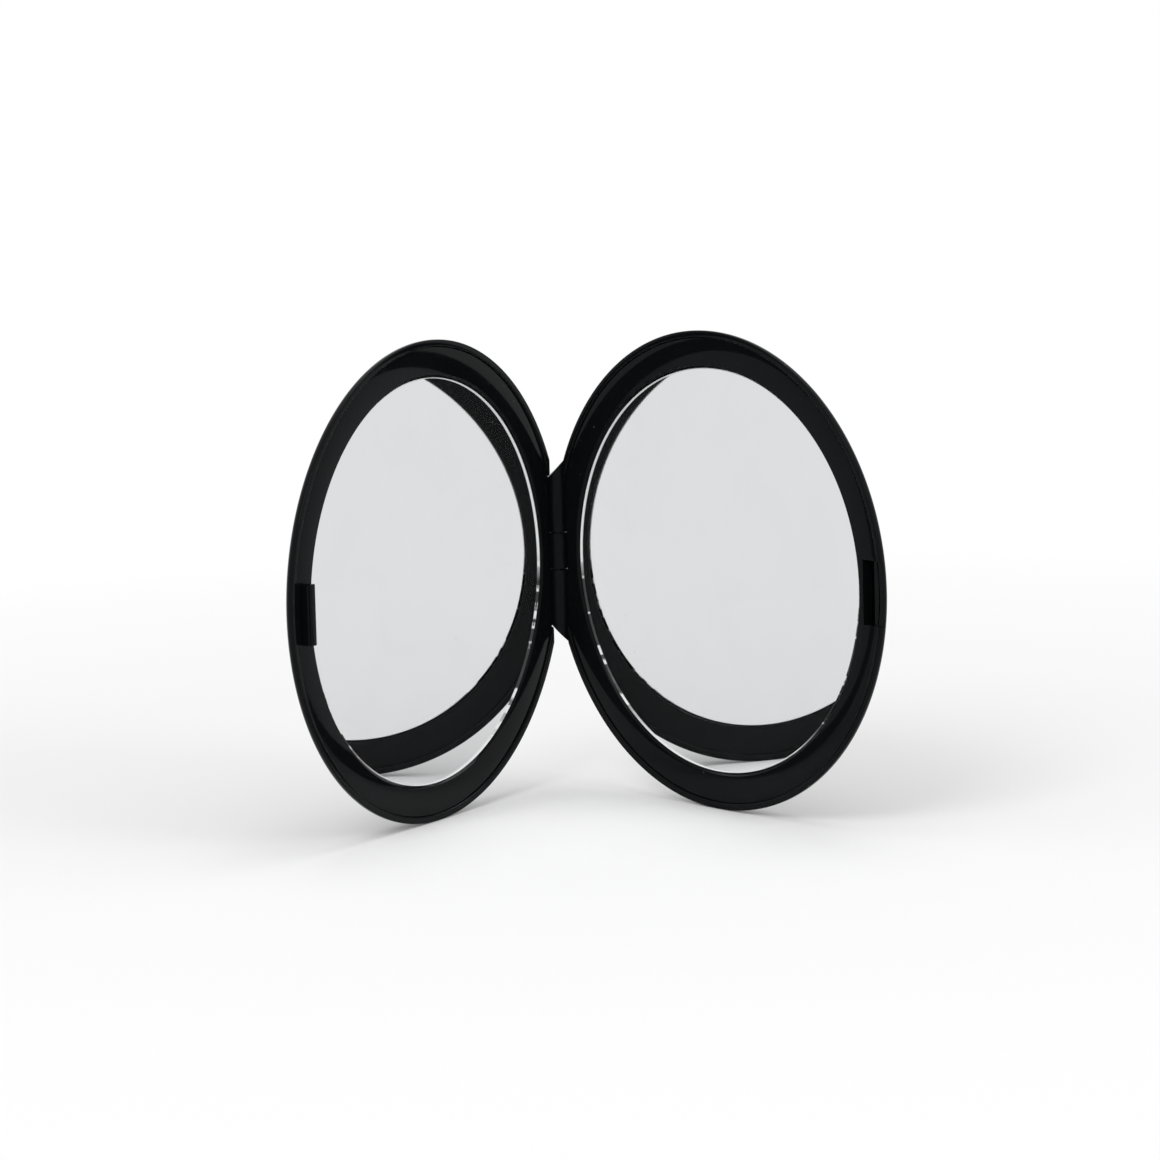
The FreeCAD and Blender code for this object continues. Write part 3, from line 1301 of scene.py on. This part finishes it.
@dataclass(frozen=True)
class Studio:
    """The white sheet, the surroundings, the lamps and the camera."""

    lamps: Tuple[Lamp, ...] = (Lamp("key", (-0.55, -0.85, 0.95), 0.55, 4.6),
                               Lamp("fill", (0.80, -0.70, 0.60), 0.55, 2.0),
                               Lamp("top", (0.05, 0.15, 1.10), 0.70, 3.3))
    sheet_size: float = 14.0
    sheet_cells: int = 8
    soft_light: float = 0.62
    azimuth: float = -4.435
    elevation: float = 8.757
    roll: float = -1.508
    distance: float = 850.0 * MM
    shift_right: float = 3.13 * MM
    shift_up: float = -4.56 * MM
    focal_px: float = 5701.0
    clip_start: float = 0.01

    def build(self, stance: Stance) -> None:
        """Sets up the sheet, the world, the lamps and the camera.

        Args:
            stance: How the halves stand.
        """
        self._sheet()
        self._world()
        for lamp in self.lamps:
            lamp.build()
        self._camera(stance)

    def _sheet(self) -> None:
        """The wide white sheet that the object stands on."""
        Bench.clear()
        bpy.ops.mesh.primitive_grid_add(x_subdivisions=self.sheet_cells, y_subdivisions=self.sheet_cells,
                                        size=self.sheet_size, location=(0, 0, 0))
        sheet = bpy.context.object
        sheet.name = "studio_sheet"
        sheet.data.materials.append(StudioWhite().make())
        Bench.clear()

    def _world(self) -> None:
        """White surroundings, plain white where they are seen and softer where they light the object."""
        world = bpy.data.worlds.new("studio")
        bpy.context.scene.world = world
        world.use_nodes = True
        graph = Graph(world.node_tree)
        strength = graph.spread(graph.seen(), (0.0, 1.0), (self.soft_light, 1.0))
        light = graph.add("ShaderNodeBackground", {"Color": WHITE, "Strength": strength})
        graph.add("ShaderNodeOutputWorld", {"Surface": light.outputs[0]})

    def _camera(self, stance: Stance) -> None:
        """The camera at the photograph's viewing angle.

        Args:
            stance: How the halves stand.
        """
        turn, rise, roll = (math.radians(value) for value in (self.azimuth, self.elevation, self.roll))
        back = Vector((math.sin(turn) * math.cos(rise), -math.cos(turn) * math.cos(rise), math.sin(rise)))
        right = Vector((math.cos(turn), math.sin(turn), 0))
        up = back.cross(right)
        eye = back * self.distance + right * self.shift_right + up * self.shift_up
        rolled_right = right * math.cos(roll) + up * math.sin(roll)
        rolled_up = up * math.cos(roll) - right * math.sin(roll)
        data = bpy.data.cameras.new("camera")
        data.sensor_width = SENSOR_MM
        data.lens = SENSOR_MM * self.focal_px / IMAGE_SIZE
        data.clip_start = self.clip_start
        camera = bpy.data.objects.new("camera", data)
        turned = Matrix((rolled_right, rolled_up, back)).transposed().to_4x4()
        place = eye + Vector((0, stance.hinge_y, stance.centre_height))
        camera.matrix_world = Matrix.Translation(place) @ turned
        bpy.context.scene.collection.objects.link(camera)
        bpy.context.scene.camera = camera


@dataclass(frozen=True)
class CompactMirror:
    """The whole object: two halves, each with its cover, rim, mirror and pad, and the hinge pin."""

    sizes: Sizes
    stance: Stance
    finishes: Finishes

    def attach(self, piece: Object, half: Half, node: str) -> None:
        """Puts a piece on its body in place of its plain solid.

        Args:
            piece: The finished piece.
            half: The half whose body it rides on.
            node: The solid that it stands for.
        """
        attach(piece, half.body)
        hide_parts(node)
        log.info("%s stands for %s on %s, %d faces", piece.name, node, half.body, len(piece.data.polygons))

    def build(self, nodes: Dict[str, Object]) -> None:
        """Builds every piece and dresses the solids that stay.

        Args:
            nodes: The plain solids by name.
        """
        hinge = Hinge(self.sizes)
        latch = Latch(self.sizes)
        for half in Half:
            pieces = ((Cover(half, self.sizes, latch), "cover", Slot.PLASTIC),
                      (RimFrame(half, self.sizes, hinge, latch), "frame", Slot.PLASTIC),
                      (MirrorGlass(half, self.sizes), "mirror", Slot.GLASS))
            for piece, node, slot in pieces:
                self.attach(piece.build(self.stance, self.finishes), half, f"{half.body}_{node}")
            MirrorPad(half).dress(nodes, self.finishes)
        self.attach(hinge.pin(self.stance, self.finishes), Half.BASE, "hinge_pin")


def main() -> None:
    """Builds the object and its studio, and logs the pieces that stand for the solids."""
    logging.basicConfig(level=logging.INFO, format="%(name)s: %(message)s")
    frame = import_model()
    sizes = Sizes()
    stance = Stance.from_joint(frame["joints"][0], sizes)
    CompactMirror(sizes, stance, Finishes.made()).build(frame["nodes"])
    Studio().build(stance)
    bpy.context.scene.view_settings.view_transform = "Standard"


if __name__ == "__main__":
    main()
